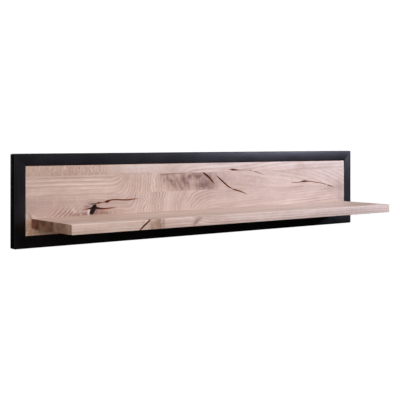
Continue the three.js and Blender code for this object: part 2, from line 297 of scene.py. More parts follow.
def bump(net, surface, height, strength, distance):
    made = net.node("ShaderNodeBump")
    made.inputs["Strength"].default_value = strength
    made.inputs["Distance"].default_value = distance
    net.feed(made.inputs["Height"], height)
    net.feed(surface.inputs["Normal"], made.outputs["Normal"])


# ---------------------------------------------------------------- effects shared by finishes


def spot_group():
    """A soft oval hill of height 1 about a centre, for knots, crowns and stains."""
    tree, net, source, sink = new_group(
        "Soft Spot",
        [("Across", "value"), ("Up", "value"), ("Centre Across", "value"), ("Centre Up", "value"),
         ("Reach Across", "value"), ("Reach Up", "value")],
        [("Height", "value")],
    )
    across = net.math("DIVIDE", net.less(source[0], source[2]), source[4])
    up = net.math("DIVIDE", net.less(source[1], source[3]), source[5])
    far = net.add(net.times(across, across), net.times(up, up))
    net.feed(sink[0], net.math("EXPONENT", net.times(far, -1.0)))
    return tree


def grain_group():
    """Oak along its rings: Field counts the rings, and Place is in millimetres."""
    tree, net, source, sink = new_group(
        "Oak Grain",
        [("Place", "vector"), ("Field", "value"), ("Light", "colour"), ("Dark", "colour"),
         ("Contrast", "value"), ("Seed", "value")],
        [("Colour", "colour"), ("Roughness", "value"), ("Height", "value")],
    )
    place, field, light, dark, contrast, seed = source[:6]
    x, y, z = net.split(place)
    # Each year is a pale band and then a thin dark line, and some years are stronger
    year = net.math("FLOOR", field)
    share = net.math("FRACT", field)
    band = net.times(net.step(share, 0.12, 0.42), net.step(share, 0.48, 0.74, 1.0, 0.0))
    line = net.times(net.step(share, 0.70, 0.86), net.step(share, 0.88, 1.0, 1.0, 0.0))
    force = net.step(net.noise(net.join(net.times(year, 0.73), seed, 0.0), 1.0, 0.0), 0.3, 0.7, 0.15, 1.3)
    other = net.noise(net.join(net.times(year, 0.51), net.add(seed, 9.0), 0.0), 1.0, 0.0)
    force_band = net.step(other, 0.3, 0.7, 0.1, 1.3)
    patch = net.noise(net.join(net.times(x, 0.006), seed, net.times(z, 0.012)), 1.0, 2.0)
    fade = net.step(patch, 0.3, 0.7, 0.45, 1.2)
    line = net.times(net.times(line, force), fade)
    band = net.times(net.times(band, force_band), fade)
    # Fibres and pores run along the rings
    along = net.join(
        net.times(x, 0.03), net.add(net.add(net.times(y, 0.2), seed), net.times(z, 0.015)),
        net.times(field, 8.0),
    )
    fibre = net.noise(along, 1.0, 4.0, 0.62)
    pore_place = net.join(
        net.times(x, 0.13), net.add(net.add(net.times(y, 0.9), seed), net.times(z, 0.06)),
        net.times(field, 21.0),
    )
    pore = net.step(net.noise(pore_place, 1.0, 2.0, 0.6), 0.6, 0.72)
    pore = net.times(pore, net.step(share, 0.35, 0.95, 0.3, 1.0))
    # Broad tone across the board
    tone = net.noise(net.join(net.times(x, 0.0045), seed, net.times(field, 0.35)), 1.0, 3.0, 0.55)
    mottle = net.noise(
        net.join(net.times(x, 0.03), net.add(seed, 7.0), net.times(z, 0.05)), 1.0, 3.0, 0.6
    )
    share_dark = net.add(0.36, net.times(net.less(net.times(line, 0.55), net.times(band, 0.42)), contrast))
    share_dark = net.add(share_dark, net.step(fibre, 0.3, 0.75, -0.10, 0.16))
    share_dark = net.add(share_dark, net.step(tone, 0.3, 0.7, -0.14, 0.16))
    share_dark = net.add(share_dark, net.step(mottle, 0.3, 0.75, -0.05, 0.08))
    share_dark = net.math("ADD", share_dark, net.times(pore, 0.2), clamp=True)
    net.feed(sink["Colour"], net.mix(share_dark, light, dark))
    rough = net.add(0.46, net.times(line, 0.08))
    net.feed(sink["Roughness"], net.add(rough, net.times(pore, 0.12)))
    relief = net.add(net.times(line, -0.35), net.times(pore, -0.6))
    net.feed(sink["Height"], net.add(relief, net.times(fibre, 0.25)))
    return tree


def end_grain_group():
    """The end of an oak stave: growth arcs about a far centre, open pores and pale rays."""
    tree, net, source, sink = new_group(
        "Oak End Grain",
        [("Place", "vector"), ("Centre Y", "value"), ("Centre Z", "value"), ("Light", "colour"),
         ("Dark", "colour"), ("Seed", "value")],
        [("Colour", "colour"), ("Height", "value")],
    )
    place, centre_y, centre_z, light, dark, seed = source[:6]
    _, y, z = net.split(place)
    dy = net.less(y, centre_y)
    dz = net.less(z, centre_z)
    radius = net.math("SQRT", net.add(net.times(dy, dy), net.times(dz, dz)))
    radius = net.add(radius, net.times(net.noise(net.join(seed, y, z), 0.08, 2.0), 5.0))
    rings = net.math("FRACT", net.times(radius, 0.31))
    line = net.math("POWER", rings, 1.8)
    turn = net.times(net.math("ARCTAN2", dy, dz), 55.0)
    ray = net.step(net.noise(net.join(turn, net.times(radius, 0.02), seed), 1.0, 1.0), 0.56, 0.66)
    pore = net.step(net.noise(net.join(seed, y, z), 1.7, 1.0), 0.6, 0.7)
    blotch = net.noise(net.join(seed, y, z), 0.05, 3.0)
    share = net.add(net.times(line, 0.55), net.times(pore, 0.3))
    share = net.add(share, net.step(blotch, 0.3, 0.7, -0.1, 0.6))
    share = net.math("SUBTRACT", share, net.times(ray, 0.3), clamp=True)
    net.feed(sink["Colour"], net.mix(share, light, dark))
    net.feed(sink["Height"], net.add(net.times(pore, -0.7), net.times(line, -0.3)))
    return tree


def lacquer_group():
    """Sprayed lacquer: faint orange peel, uneven gloss and a few dust nibs."""
    tree, net, source, sink = new_group(
        "Sprayed Skin",
        [("Place", "vector"), ("Gloss", "value")],
        [("Tone", "value"), ("Roughness", "value"), ("Height", "value")],
    )
    peel = net.noise(source["Place"], 0.55, 2.0)
    cloud = net.noise(source["Place"], 0.012, 3.0)
    nib = net.step(net.noise(source["Place"], 0.9, 0.0), 0.80, 0.86)
    net.feed(sink["Tone"], net.step(cloud, 0.3, 0.7, 0.85, 1.15))
    rough = net.add(source["Gloss"], net.step(cloud, 0.3, 0.7, -0.03, 0.05))
    net.feed(sink["Roughness"], net.add(rough, net.times(nib, 0.12)))
    net.feed(sink["Height"], net.add(net.times(peel, 0.5), nib))
    return tree


def metal_group():
    """Plated steel: drawn streaks, handling marks and a mottled passivation."""
    tree, net, source, sink = new_group(
        "Plated Skin",
        [("Place", "vector"), ("Base", "colour"), ("Tint", "colour"), ("Gloss", "value")],
        [("Colour", "colour"), ("Roughness", "value"), ("Height", "value")],
    )
    streak = net.noise(net.scaled(source["Place"], (0.6, 0.6, 9.0)), 1.0, 2.0)
    mottle = net.noise(source["Place"], 0.35, 3.0)
    net.feed(sink["Colour"], net.mix(net.step(mottle, 0.35, 0.7), source["Base"], source["Tint"]))
    rough = net.add(source["Gloss"], net.step(streak, 0.3, 0.7, -0.05, 0.1))
    net.feed(sink["Roughness"], net.add(rough, net.step(mottle, 0.5, 0.8, 0.0, 0.12)))
    net.feed(sink["Height"], streak)
    return tree


GROUP_MAKERS = {
    "Soft Spot": spot_group,
    "Oak Grain": grain_group,
    "Oak End Grain": end_grain_group,
    "Sprayed Skin": lacquer_group,
    "Plated Skin": metal_group,
}


def effect(name):
    """A shared effect's node group, built the first time that it is asked for."""
    return bpy.data.node_groups.get(name) or GROUP_MAKERS[name]()


# ---------------------------------------------------------------- the oak's figure

def spot(net, x, z, centre, reach):
    """A soft oval hill at a centre."""
    return net.group(
        effect("Soft Spot"), across=x, up=z, centre_across=centre[0], centre_up=centre[1],
        reach_across=reach[0], reach_up=reach[1],
    )[0]


def wander(net, x, z, seed, amount, size):
    """x and z moved by a slow noise, so that no line is ruled."""
    moved = net.noise(net.join(net.times(x, 0.5), seed, z), 1.0 / size, 2.0, colour=True)
    dx, dy, _ = net.split(moved)
    return (
        net.add(x, net.times(net.less(dx, 0.5), 2.4 * amount)),
        net.add(z, net.times(net.less(dy, 0.5), amount)),
    )


def sweep(net, x, *stations):
    """The running sum of a slope that changes in smooth steps: (start, end, change in slope)."""
    total = 0.0
    for start, end, change in stations:
        # A smooth ramp: nothing before start, then a straight rise of slope 1 past end
        width = end - start
        share = net.math("DIVIDE", net.less(x, start), width, clamp=True)
        bend = net.times(net.times(share, share), width / 2)
        past = net.math("MAXIMUM", net.less(x, end), 0.0)
        total = net.add(total, net.times(net.add(bend, past), change))
    return total


def window(net, value, start, full, fade, end):
    """Rises from start to full, and falls again from fade to end."""
    return net.times(net.step(value, start, full), net.step(value, fade, end, 1.0, 0.0))


def figure_top(net, x, z):
    """First stave: tight upright curls on the left, quiet on the right."""
    curl = net.noise(net.join(net.times(x, 1 / 20), 3.0, net.times(z, 1 / 15)), 1.0, 1.5, 0.5)
    upright = net.step(x, -440.0, -330.0, 1.0, 0.0)
    level = net.times(net.times(z, -1 / 13.0), net.less(1.0, net.times(upright, 0.75)))
    field = net.add(level, sweep(net, x, (-900, -800, 0.085), (-430, -330, -0.083)))
    field = net.add(field, net.times(net.times(curl, upright), 2.6))
    swell = spot(net, x, z, (-145.0, 200.0), (60.0, 34.0))
    fall = net.times(net.step(x, 60.0, 420.0), 1.6)
    contrast = net.add(0.45, net.times(upright, 0.4))
    return net.add(net.less(field, net.times(swell, 2.4)), fall), contrast


def figure_second(net, x, z):
    """Second stave: level lines that turn straight up, a heart, then lines that fall away."""
    heart = window(net, x, -352.0, -268.0, 20.0, 60.0)
    level = net.times(net.less(z, 150.0), net.less(1.0, net.times(heart, 0.95)))
    left = net.add(net.times(level, -1 / 12.5), sweep(net, x, (-375, -285, 1 / 10.4)))
    sink_away = net.math("MAXIMUM", net.less(x, 330.0), 0.0)
    drop = net.times(net.times(sink_away, sink_away), 0.0005)
    fall = net.add(net.less(z, 150.0), net.add(drop, net.times(x, 0.10)))
    side = net.math("GREATER_THAN", x, 40.0)
    field = net.mix_value(side, left, net.times(fall, 1 / 15.0))
    strong = net.add(net.step(x, -170.0, -120.0, 0.72, 0.2), net.step(x, -330.0, -280.0, 0.16, 0.0))
    return field, net.add(strong, net.step(x, 150.0, 320.0, 0.0, 0.16))


def figure_third(net, x, z):
    """Third stave: a crown, knots, then rings that sweep up through the middle and level out."""
    upright = window(net, x, -345.0, -262.0, -190.0, 45.0)
    level = net.times(net.less(z, 117.0), net.less(1.0, net.times(upright, 0.86)))
    field = net.add(
        net.times(level, -1 / 10.0),
        sweep(net, x, (-330, -270, 1 / 10.4), (-120, 40, -1 / 10.4), (40, 60, 0.005)),
    )
    field = net.add(field, net.times(spot(net, x, z, (-530.0, 84.0), (58.0, 32.0)), 5.0))
    field = net.add(field, net.times(spot(net, x, z, (-690.0, 106.0), (62.0, 26.0)), 5.0))
    field = net.add(field, net.times(spot(net, x, z, (-437.0, 104.0), (34.0, 24.0)), 2.6))
    strong = net.add(window(net, x, -300.0, -255.0, -40.0, 110.0), net.step(x, -640.0, -590.0, 1.0, 0.0))
    return field, net.add(0.5, net.times(strong, 0.45))


def figure_plain(net, x, z):
    """A quiet, nearly straight stave."""
    slope = net.add(net.times(z, -1 / 9.0), net.times(x, 0.0035))
    swell = spot(net, x, z, (120.0, 60.0), (220.0, 50.0))
    return net.less(slope, net.times(swell, 2.0)), 0.6


def figure_front(net, x, z):
    """The shelf's first stave: lines that drop steeply beside a dark patch, then level out."""
    away = net.math("MAXIMUM", net.add(x, 238.0), 0.0)
    drop = net.times(net.math("EXPONENT", net.times(away, -1 / 30.0)), 24.0)
    return net.times(net.less(z, drop), -1 / 8.0), 0.6


# name: (figure, seed, tone, how deep the tone of the end grain is, which on the shelf is painted shade that
# grows towards the panel)
STAVES = {
    "panel_1": (figure_top, 1.7, 1.02, 1.0),
    "panel_2": (figure_second, 5.1, 1.05, 1.0),
    "panel_3": (figure_third, 9.4, 0.96, 1.0),
    # The bottom stave's paler tone is painted light that lifts the shade below the shelf
    "panel_4": (figure_plain, 13.2, 1.36, 1.0),
    "shelf_1": (figure_front, 17.9, 1.17, 0.52),
    "shelf_2": (figure_plain, 23.3, 0.98, 0.73),
    "shelf_3": (figure_plain, 29.1, 1.03, 1.05),
    "shelf_4": (figure_plain, 31.6, 0.96, 1.6),
}

# Soft stains, and some patches of painted shade and highlight: (centre across, centre up), (reach across,
# reach up), lean, strength, colour
STAINS_AND_PAINTED_LIGHT = {
    "panel_1": (
        ((-540, 222), (190, 40), 0.0, 0.50, "tan"),
        ((-142, 226), (26, 22), 0.3, 0.36, "tan"),
        ((-270, 226), (90, 24), 0.0, 0.50, "pale_and_painted_highlight"),
        ((50, 228), (110, 22), 0.0, 0.40, "pale_and_painted_highlight"),
        ((437, 222), (26, 16), 0.4, 0.45, "tan"),
        ((45, 237), (60, 4), 0.0, 0.40, "heart"),
        ((560, 222), (40, 8), 0.4, 0.22, "rose"),
    ),
    "panel_2": (
        ((-300, 184), (54, 50), 0.3, 0.32, "tan"),
        ((-110, 178), (80, 46), 0.0, 0.62, "tan"),
        ((-176, 190), (8, 22), 0.6, 0.50, "heart"),
        ((-150, 184), (11, 26), 0.9, 0.85, "heart"),
        ((-120, 176), (10, 26), 0.7, 0.75, "heart"),
        ((-92, 182), (13, 24), 0.5, 1.00, "heart"),
        ((-70, 196), (11, 14), -0.8, 0.90, "heart"),
        ((-38, 197), (24, 14), 0.3, 0.98, "heart"),
        ((-14, 164), (40, 18), -0.2, 0.90, "heart"),
        ((10, 180), (32, 34), 0.0, 0.85, "heart"),
        ((30, 168), (22, 20), 0.6, 0.40, "tan"),
        ((78, 188), (40, 28), 0.8, 0.66, "rose"),
        ((190, 176), (90, 34), 0.0, 0.36, "rose"),
        ((460, 160), (60, 6), 0.0, 0.25, "rose"),
        ((640, 146), (14, 26), 0.0, 0.22, "heart"),
    ),
    "panel_3": (
        ((-560, 122), (180, 46), 0.0, 0.46, "rose"),
        ((-437, 103), (26, 18), 0.0, 0.85, "heart"),
        ((-478, 90), (40, 6), 0.0, 0.75, "heart"),
        ((-400, 91), (36, 8), 0.0, 0.75, "rust"),
        ((-462, 112), (8, 4), 0.4, 0.80, "heart"),
        ((-446, 124), (14, 4), -0.2, 0.50, "heart"),
        ((-505, 102), (9, 9), 0.5, 0.60, "pale_and_painted_highlight"),
        ((-641, 132), (70, 12), 0.0, 0.40, "rose"),
        # This paler spot on the knot's left rim is a painted highlight
        ((-454, 97), (5, 8), 0.3, 1.20, "pale_and_painted_highlight"),
        ((-340, 117), (80, 20), 0.0, 0.46, "rose"),
        ((-330, 92), (60, 8), 0.0, 0.35, "tan"),
        ((640, 128), (14, 24), 0.0, 0.22, "heart"),
    ),
    "panel_4": (
        # The darker tan at the left, beside and under the shelf's end, is painted shade of the shelf
        ((-640, 62), (80, 30), 0.0, 0.6, "tan"),
        ((-600, 60), (60, 34), 0.0, 0.5, "tan"),
        ((-300, 80), (300, 10), 0.0, 0.3, "tan"),
    ),
    "shelf_1": (
        ((-362, 74), (17, 26), 0.0, 0.95, "tan"),
        ((-384, 66), (10, 20), 0.0, 0.75, "tan"),
        ((-352, 76), (4, 20), 0.0, 0.60, "rust"),
        ((-340, 72), (3, 20), 0.0, 0.50, "rust"),
        ((-220, 76), (13, 14), -0.9, 0.85, "tan"),
        ((-222, 70), (6, 8), -0.9, 0.40, "rust"),
        ((300, 70), (60, 12), 0.0, 0.30, "rose"),
        ((480, 74), (110, 12), 0.0, 0.44, "rose"),
    ),
    # The tan over the left of the shelf's top, stronger on each stave towards the panel, is painted shade
    "shelf_2": (((-560, 86), (220, 40), 0.0, 0.22, "tan"),),
    "shelf_3": (((-560, 86), (240, 40), 0.0, 0.28, "tan"),),
    "shelf_4": (((-560, 86), (240, 40), 0.0, 0.34, "tan"),),
}


# The line that the shelf's cracks follow: a point on it, and how far it leans for each step up
SHELF_CRACK_FOOT = (-425.0, 59.0)
SHELF_CRACK_LEAN = 34 / 26


def cracked_depth(net, name, x, y, up, face_y):
    """Masks for how deep a place lies under a cracked face: a crack's lip, and its bottom."""
    depth = net.less(y, face_y)
    if name.startswith("shelf"):
        foot_x, foot_up = SHELF_CRACK_FOOT
        lean = net.times(net.less(up, foot_up), SHELF_CRACK_LEAN)
        run = net.add(x, net.less(-foot_x, lean))
        inside = net.step(net.math("ABSOLUTE", run), 4.0, 6.0, 1.0, 0.0)
    else:
        edge = PANEL_HIGH.x / MM
        inside = net.step(net.math("ABSOLUTE", x), edge - 3, edge - 2, 1.0, 0.0)
    shallow = net.times(inside, net.step(depth, 12.0, 12.5, 1.0, 0.0))
    # The second mask paints shade: deeper than 1.5 mm a crack goes near-black
    return net.times(shallow, net.step(depth, 0.04, 0.3)), net.times(shallow, net.step(depth, 1.5, 2.9))


def with_stains_and_painted_light(net, name, colour, x, up):
    """The colour with a stave's soft stains and patches of painted shade and highlight over it, broken up
    by streaks.
    """
    streak = net.noise(net.join(net.times(x, 0.09), 4.0, net.times(up, 0.05)), 1.0, 3.0, 0.65)
    broken = net.step(streak, 0.3, 0.62, 0.45, 1.25)
    for centre, reach, lean, strength, tint in STAINS_AND_PAINTED_LIGHT[name]:
        leaned = net.add(x, net.times(net.less(up, centre[1]), lean))
        mask = net.times(spot(net, leaned, up, centre, reach), strength)
        mask = net.math("MULTIPLY", mask, broken, clamp=True)
        colour = net.mix(mask, colour, colour_of(tint))
    return colour


def bent_place(net, name, x, y, up, seed):
    """Where the rings are read for a place on a stave: moved about, and bent round the shelf's edge."""
    across = up
    if name.startswith("shelf"):
        across = net.add(up, net.times(net.less(y, SHELF_LOW.y / MM), -0.85))
    wx, wz = wander(net, x, across, seed, 4.0, 60.0)
    wx, wz = wander(net, wx, wz, seed + 3.0, 1.8, 14.0)
    if name in ("panel_2", "panel_3"):
        wavy = window(net, x, -300.0, -240.0, -60.0, 40.0)
        sway = net.noise(net.join(net.times(x, 1 / 34), seed, net.times(up, 1 / 20)), 1.0, 2.0, 0.6)
        wx = net.add(wx, net.times(net.times(net.less(sway, 0.5), wavy), 26.0))
    return wx, wz


def with_heart_seam(net, colour, wx, wz):
    """The rusty line along the top of the second stave's heart."""
    rise = net.less(wz, net.add(203.5, net.times(net.add(wx, 182.0), 0.05)))
    seam = net.math("EXPONENT", net.times(net.times(rise, rise), -0.35))
    seam = net.times(seam, window(net, wx, -192.0, -175.0, -90.0, -74.0))
    return net.mix(net.times(seam, 0.75), colour, colour_of("rust"))


def with_ripples(net, colour, x, up, seed):
    """The dark ripples to the left of the third stave's knot."""
    rx, rz = wander(net, x, up, seed + 8.0, 5.5, 22.0)
    slant = net.add(net.times(rx, 0.9), net.times(rz, -1.0))
    ripple = net.times(net.step(net.math("SINE", net.times(slant, 0.46)), -0.2, 0.8), 0.85)
    ripple = net.times(ripple, spot(net, rx, rz, (-532.0, 95.0), (48.0, 17.0)))
    return net.mix(ripple, colour, colour_of("heart"))


def with_cracks(net, colour, lip, pit, knot=None):
    """Brown just inside a crack, and nearly black at its bottom and inside the knot; the black at a crack's
    bottom is painted shade.
    """
    if knot is not None:
        pit = net.math("MAXIMUM", pit, net.math("MULTIPLY", lip, knot, clamp=True))
    colour = net.mix(lip, colour, colour_of("crack_lip"))
    return net.mix(pit, colour, colour_of("crack"))


def stave_end(net, name, place, y, seed, painted_end_shade):
    """The colour and relief of a stave's end; a shelf stave is paler just behind its joint."""
    # The end grain's colours are raised to a power, so each shelf stave's end is painted darker towards the
    # panel: painted shade near the wall
    colour, height = net.group(
        effect("Oak End Grain"), place=place, centre_y=-60.0 - 40.0 * math.sin(seed),
        centre_z=BOARD_FLOOR + 72.0 + 60.0 * math.cos(seed), seed=seed,
        light=[c ** painted_end_shade for c in colour_of("end_light")],
        dark=[c ** painted_end_shade for c in colour_of("end_dark")],
    )
    if name.startswith("shelf"):
        seam_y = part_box(f"shelf_stave_{name[-1]}")[0].y / MM
        pale_edge = net.step(y, seam_y + 2.0, seam_y + 11.0, 0.6, 0.0)
        colour = net.mix(pale_edge, colour, colour_of("tan"))
    return colour, height


def oak_material(name, face_y=None):
    """One stave's oak. face_y is a cracked face, below which the wood goes dark."""
    figure, seed, tone, painted_end_shade = STAVES[name]
    made, net, surface = new_material(f"oak_{name}")
    place = net.object_mm()
    x, y, z = net.split(place)
    up = net.less(z, BOARD_FLOOR)
    wx, wz = bent_place(net, name, x, y, up, seed)
    field, contrast = figure(net, wx, wz)
    colour, rough, height = net.group(
        effect("Oak Grain"), place=place, field=field, contrast=contrast, seed=seed,
        light=[c * tone for c in colour_of("oak_light")],
        dark=[c * tone for c in colour_of("oak_dark")],
    )
    sx, sz = wander(net, x, up, seed + 6.0, 7.0, 16.0)
    colour = with_stains_and_painted_light(net, name, colour, sx, sz)
    if name == "panel_2":
        colour = with_heart_seam(net, colour, wx, wz)
    if name == "panel_3":
        colour = with_ripples(net, colour, x, up, seed)
    facing = net.split(net.node("ShaderNodeTexCoord").outputs["Normal"])[0]
    end = net.step(net.math("ABSOLUTE", facing), 0.6, 0.8)
    if face_y is not None:
        lip, pit = cracked_depth(net, name, x, y, up, face_y)
        knot = None
        if name == "panel_3":
            knot = net.times(spot(net, x, up, (-439.0, 103.0), (13.0, 22.0)), 2.2)
        colour = with_cracks(net, colour, lip, pit, knot)
        end = net.times(end, net.less(1.0, lip))
        rough = net.mix_value(lip, rough, 1.0)
    end_colour, end_height = stave_end(net, name, place, y, seed, painted_end_shade)
    net.feed(surface.inputs["Base Color"], net.mix(end, colour, end_colour))
    net.feed(surface.inputs["Roughness"], rough)
    surface.inputs["Specular IOR Level"].default_value = 0.6
    mixed = net.add(net.times(height, net.less(1.0, end)), net.times(end_height, end))
    bump(net, surface, mixed, 0.35, 0.0003)
    return made


def lacquer_material():
    made, net, surface = new_material("black_lacquer")
    tone, rough, height = net.group(effect("Sprayed Skin"), place=net.object_mm(), gloss=0.36)
    toned = net.mix(1.0, colour_of("lacquer"), net.join(tone, tone, tone), "MULTIPLY")
    net.feed(surface.inputs["Base Color"], toned)
    net.feed(surface.inputs["Roughness"], rough)
    surface.inputs["Specular IOR Level"].default_value = 0.46
    surface.inputs["Specular Tint"].default_value = (1.0, 0.92, 1.0, 1.0)
    bump(net, surface, height, 0.12, 0.0002)
    return made


def metal_material(name, base, gloss):
    """Plated metal in one of the named colours, mottled with its dull shade."""
    made, net, surface = new_material(name)
    colour, rough, height = net.group(
        effect("Plated Skin"), place=net.object_mm(), gloss=gloss,
        base=colour_of(base), tint=colour_of(f"{base}_dull"),
    )
    net.feed(surface.inputs["Base Color"], colour)
    net.feed(surface.inputs["Roughness"], rough)
    surface.inputs["Metallic"].default_value = 1.0
    bump(net, surface, height, 0.15, 0.0001)
    return made


def beech_material():
    made, net, surface = new_material("beech")
    place = net.object_mm()
    fibre = net.noise(net.scaled(place, (2.0, 0.2, 2.0)), 1.0, 3.0)
    fleck = net.step(net.noise(net.scaled(place, (5.0, 0.8, 5.0)), 1.0, 1.0), 0.62, 0.7)
    colour = net.mix(net.step(fibre, 0.3, 0.7), colour_of("beech"), colour_of("beech_dark"))
    colour = net.mix(net.times(fleck, 0.5), colour, colour_of("beech_fleck"))
    net.feed(surface.inputs["Base Color"], colour)
    net.feed(surface.inputs["Roughness"], net.add(0.6, net.times(fibre, 0.15)))
    bump(net, surface, fibre, 0.3, 0.0002)
    return made


# ---------------------------------------------------------------- modelling


def pick(*pieces):
    """Only these objects are selected, and the first is active."""
    bpy.ops.object.select_all(action="DESELECT")
    for piece in pieces:
        piece.select_set(True)
    bpy.context.view_layer.objects.active = pieces[0]


def settle(piece, name):
    """Puts a piece's place into its mesh and names it."""
    pick(piece)
    bpy.ops.object.transform_apply(location=True, rotation=True, scale=True)
    piece.name = name
    piece.data.name = name
    return piece


def block(name, low, high):
    """A box between two corners."""
    low, high = Vector(low), Vector(high)
    bpy.ops.object.select_all(action="DESELECT")
    bpy.ops.mesh.primitive_cube_add(size=1, location=(low + high) / 2)
    piece = bpy.context.object
    piece.scale = high - low
    return settle(piece, name)


def rod(name, radius, y_low, y_high, x, z, sides=32, tip=None):
    """A round piece along Y, or a cone whose far end has its own radius."""
    bpy.ops.object.select_all(action="DESELECT")
    bpy.ops.mesh.primitive_cone_add(
        vertices=sides, radius1=radius, radius2=radius if tip is None else tip,
        depth=y_high - y_low, location=(x, (y_low + y_high) / 2, z),
        rotation=(-math.pi / 2, 0, 0),
    )
    return settle(bpy.context.object, name)


def combine(piece, other, operation="DIFFERENCE"):
    """Cuts another shape out of a piece, or joins it on, and removes the other shape."""
    pick(piece)
    tool = piece.modifiers.new("shape", "BOOLEAN")
    tool.operation = operation
    tool.solver = "MANIFOLD"
    tool.object = other
    bpy.ops.object.modifier_apply(modifier=tool.name)
    bpy.data.objects.remove(other)
    return piece


def choose(piece, kind, test):
    """Leaves just the edges or faces that test() accepts selected, in edit mode."""
    mesh = piece.data
    for parts in (mesh.vertices, mesh.edges, mesh.polygons):
        parts.foreach_set("select", [False] * len(parts))
    for part in mesh.edges if kind == "EDGE" else mesh.polygons:
        part.select = test(part)
    bpy.ops.object.mode_set(mode="EDIT")


def ease_edges(piece, width, segments, chosen):
    """Rounds the sharp edges whose two ends chosen() accepts."""
    pick(piece)
    bpy.ops.object.mode_set(mode="EDIT")
    bpy.ops.mesh.select_mode(type="EDGE")
    bpy.ops.mesh.select_all(action="DESELECT")
    bpy.ops.mesh.edges_select_sharp(sharpness=math.radians(40))
    bpy.ops.object.mode_set(mode="OBJECT")
    vertices = piece.data.vertices
    sharp = {edge.index for edge in piece.data.edges if edge.select}
    choose(
        piece, "EDGE",
        lambda e: e.index in sharp and chosen(*(vertices[i].co for i in e.vertices)),
    )
    bpy.ops.mesh.bevel(offset=width, segments=segments, profile=0.5, affect="EDGES")
    bpy.ops.object.mode_set(mode="OBJECT")


def extrude_end(piece, towards, length, narrow=None):
    """Draws out the flat end that faces one way along Y, and may narrow it about the Y axis."""
    pick(piece)
    bpy.ops.object.mode_set(mode="EDIT")
    bpy.ops.mesh.select_mode(type="FACE")
    bpy.ops.object.mode_set(mode="OBJECT")
    choose(piece, "FACE", lambda face: face.normal.y * towards > 0.99)
    bpy.ops.mesh.extrude_region_move(TRANSFORM_OT_translate={"value": (0, towards * length, 0)})
    if narrow is not None:
        bpy.ops.transform.resize(value=(narrow, 1, narrow), center_override=(0, 0, 0))
    bpy.ops.object.mode_set(mode="OBJECT")


def runs_along_y(a, b):
    """True for an edge from front to back, which is a corner of a plate's outline."""
    return abs(a.y - b.y) > 1 * MM


def lies_at(axis, level):
    """A test for edges whose two ends are at one level of an axis (0, 1 or 2)."""
    return lambda a, b: max(abs(a[axis] - level), abs(b[axis] - level)) < SAME


def keep_beyond(piece, point, normal):
    """Cuts a piece at a plane across the frame and keeps what lies on the normal's side."""
    towards = Vector(normal).normalized()
    size = 4.0
    bpy.ops.object.select_all(action="DESELECT")
    bpy.ops.mesh.primitive_cube_add(
        size=size, location=Vector(point) - towards * size / 2,
        rotation=(0, -math.atan2(towards.z, towards.x), 0),
    )
    combine(piece, settle(bpy.context.object, "waste"))


def twin(piece, name):
    """A copy with a mesh of its own."""
    pick(piece)
    bpy.ops.object.duplicate(linked=False)
    copy = bpy.context.object
    copy.name = name
    copy.data.name = name
    return copy


def smooth(piece, degrees=35):
    pick(piece)
    bpy.ops.object.shade_smooth_by_angle(angle=math.radians(degrees), keep_sharp_edges=False)


def finish_piece(piece, material, node):
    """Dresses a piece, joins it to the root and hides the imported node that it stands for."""
    piece.data.materials.clear()
    piece.data.materials.append(material)
    smooth(piece)
    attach(piece, ROOT)
    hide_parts(node)


# ---------------------------------------------------------------- frame


def screw_centres(prefix):
    """(x, y of the head's flat, z, head radius) of each packed screw whose name starts so."""
    places = []
    for name in packed(prefix):
        low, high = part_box(name)
        places.append(((low.x + high.x) / 2, high.y, (low.z + high.z) / 2, (high.x - low.x) / 2))
    return places


def countersink(x, flat_y, z, head, kind, back_y):
    """The hole round a countersunk screw, from a little behind the wood's back face."""
    hole_radius = SHANK_HOLES[kind]
    rim = flat_y - HEAD_RIM
    cone = head - hole_radius
    past = 0.5 * MM
    hole = rod("hole", hole_radius, rim - cone, rim, x, z, tip=head + HEAD_SLACK)
    extrude_end(hole, -1, HOLE_DEPTHS[kind] - cone)
    extrude_end(hole, 1, back_y + past - rim)
    return hole


def frame_ring():
    """The frame before its mitres are cut: a ring with a lip behind the panel."""
    s = sizes()
    low, high = FRAME_LOW, FRAME_HIGH
    past = 10 * MM
    ring = block("ring", low, high)
    ease_edges(ring, s.corner, 8, runs_along_y)
    reach = s.rail + s.lip
    combine(ring, block(
        "opening", (low.x + reach, low.y - past, low.z + reach),
        (high.x - reach, high.y + past, high.z - reach),
    ))
    combine(ring, block(
        "rebate", (low.x + s.rail, low.y - past, low.z + s.rail),
        (high.x - s.rail, LIP_FRONT, high.z - s.rail),
    ))
    for y in (low.y, high.y):
        ease_edges(ring, s.frame_ease, 4, lies_at(1, y))
    return ring


def hanger_seat(side):
    """The recess for one hanger plate and the pocket behind its keyhole."""
    s = sizes()
    low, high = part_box(f"hanger_plate_{side}")
    gap = Vector((s.plate_seat, 0, s.plate_seat))
    floor = Vector((0, s.plate_seat, 0))
    seat = block("seat", low - gap - floor, high + gap + Vector((0, 2 * MM, 0)))
    ease_edges(seat, PLATE_CORNER, 6, runs_along_y)
    middle = (low.x + high.x) / 2
    pocket = block(
        "pocket", (middle - POCKET_HALF, -POCKET_DEPTH, low.z + POCKET_FOOT),
        (middle + POCKET_HALF, 1 * MM, high.z - POCKET_HEAD),
    )
    ease_edges(pocket, POCKET_CORNER, 6, runs_along_y)
    return combine(seat, pocket, "UNION")


def biscuit_seat(name):
    """The slot round one biscuit, which lies along its mitre."""
    low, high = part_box(name)
    centre = (low + high) / 2
    rising = centre.x * (centre.z - (FRAME_LOW.z + FRAME_HIGH.z) / 2) > 0
    bpy.ops.object.select_all(action="DESELECT")
    bpy.ops.mesh.primitive_cube_add(
        size=1, location=centre, rotation=(0, math.radians(-45 if rising else 45), 0)
    )
    seat = bpy.context.object
    seat.scale = (BISCUIT_SLOT[0], high.y - low.y + BISCUIT_SLACK, BISCUIT_SLOT[1])
    return settle(seat, "seat")


